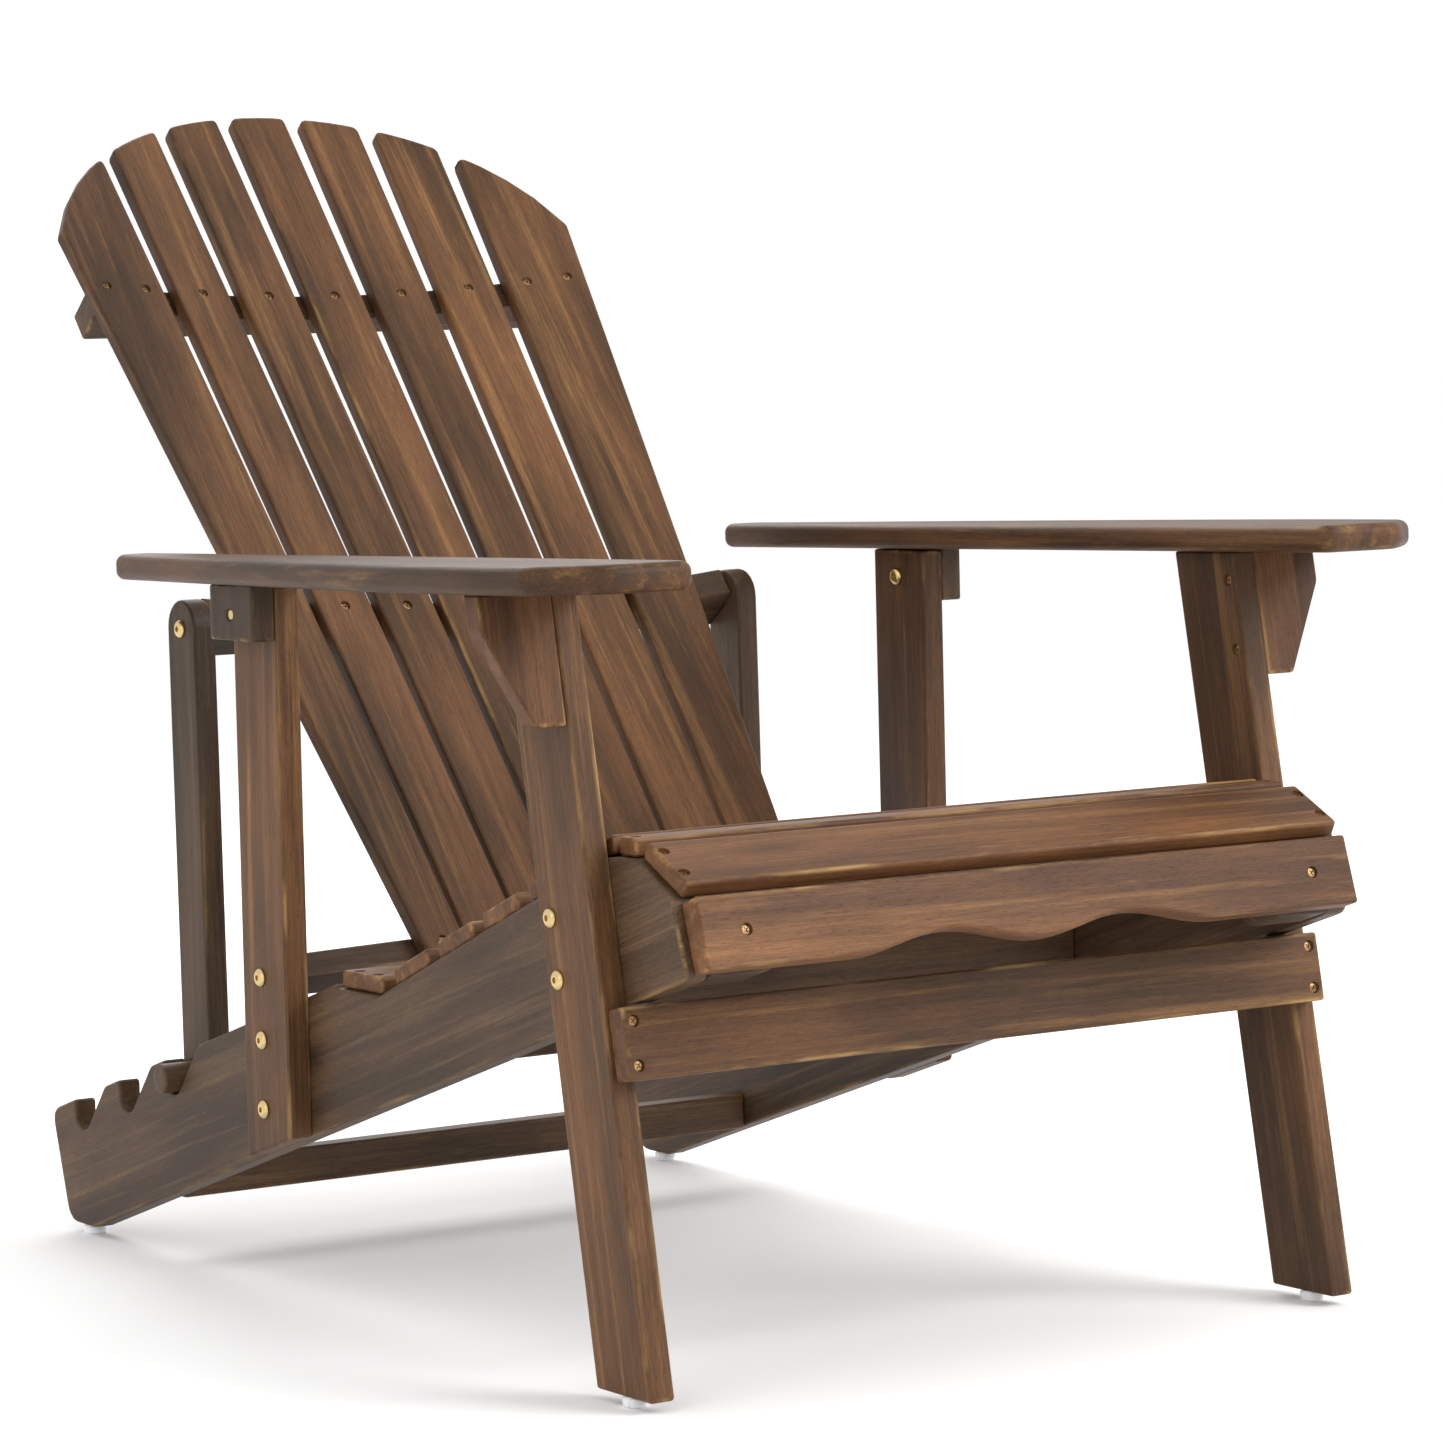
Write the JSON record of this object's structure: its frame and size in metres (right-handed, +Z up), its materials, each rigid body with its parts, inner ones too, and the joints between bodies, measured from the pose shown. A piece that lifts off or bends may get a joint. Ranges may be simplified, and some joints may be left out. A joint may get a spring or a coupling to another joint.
{
  "type": "adirondack chair",
  "caption": "Slatted wooden garden armchair with a fanned, reclining back on a notched prop, wide armrests and a back that folds down over the seat.",
  "frame": {"origin": "on the floor under the middle of the chair's outer box", "axes": "+X across to the right as seen from the front, +Y from the front to the rear, +Z up"},
  "size_m": [0.8026, 1.1968, 0.9622],
  "materials": {
    "brown_wood": "satin",
    "red_brown_wood": "satin",
    "grey_brown_wood": "satin",
    "brass_hardware": "polished",
    "white_plastic": "matte"
  },
  "bodies": {
    "root": {"left_side_rail": "grey_brown_wood", "left_front_leg": "brown_wood", "left_rear_post": "brown_wood", "left_rear_arm_block": "grey_brown_wood", "left_front_arm_block": "grey_brown_wood", "left_corbel": "red_brown_wood", "left_armrest": "brown_wood", "left_apron_block": "grey_brown_wood", "left_front_glide": "white_plastic", "left_rear_glide": "white_plastic", "right_side_rail": "grey_brown_wood", "right_front_leg": "brown_wood", "right_rear_post": "brown_wood", "right_rear_arm_block": "grey_brown_wood", "right_front_arm_block": "grey_brown_wood", "right_corbel": "red_brown_wood", "right_armrest": "brown_wood", "right_apron_block": "grey_brown_wood", "right_front_glide": "white_plastic", "right_rear_glide": "white_plastic", "front_apron": "red_brown_wood", "front_rail": "brown_wood", "seat_brace": "grey_brown_wood", "rear_stretcher": "grey_brown_wood", "seat_slat_1": "red_brown_wood", "seat_slat_2": "red_brown_wood", "seat_slat_3": "red_brown_wood", "seat_slat_4": "red_brown_wood", "seat_slat_5": "red_brown_wood", "seat_slat_6": "red_brown_wood", "seat_slat_7": "red_brown_wood", "seat_slat_8": "red_brown_wood", "left_leg_bolt_1": "brass_hardware", "left_leg_bolt_2": "brass_hardware", "left_post_bolt_1": "brass_hardware", "left_post_bolt_2": "brass_hardware", "left_back_pivot_bolt": "brass_hardware", "left_arm_block_bolt": "brass_hardware", "right_leg_bolt_1": "brass_hardware", "right_leg_bolt_2": "brass_hardware", "right_post_bolt_1": "brass_hardware", "right_post_bolt_2": "brass_hardware", "right_back_pivot_bolt": "brass_hardware", "right_arm_block_bolt": "brass_hardware"},
    "back": {"back_slat_1": "brown_wood", "back_slat_2": "brown_wood", "back_slat_3": "brown_wood", "back_slat_4": "brown_wood", "back_slat_5": "brown_wood", "back_slat_6": "brown_wood", "back_slat_7": "brown_wood", "back_upper_rail": "grey_brown_wood", "back_middle_rail": "grey_brown_wood", "back_lower_rail": "grey_brown_wood"},
    "prop": {"left_prop_strut": "grey_brown_wood", "right_prop_strut": "grey_brown_wood", "prop_dowel": "grey_brown_wood", "left_prop_pivot_bolt": "brass_hardware", "right_prop_pivot_bolt": "brass_hardware"}
  },
  "joints": [
    {"name": "back_fold", "type": "hinge", "parent": "root", "child": "back", "pos_m": [0, 0.0195, 0.25768], "axis": [1, 0, 0], "range_deg": [0, 98]},
    {"name": "prop_swing", "type": "hinge", "parent": "back", "child": "prop", "pos_m": [0, 0.22445, 0.52436], "axis": [1, 0, 0], "range_deg": [-24.5, 0]}
  ],
  "couplings": [
    {"joint": "prop_swing", "follows": "back_fold", "ratio": -0.25}
  ]
}
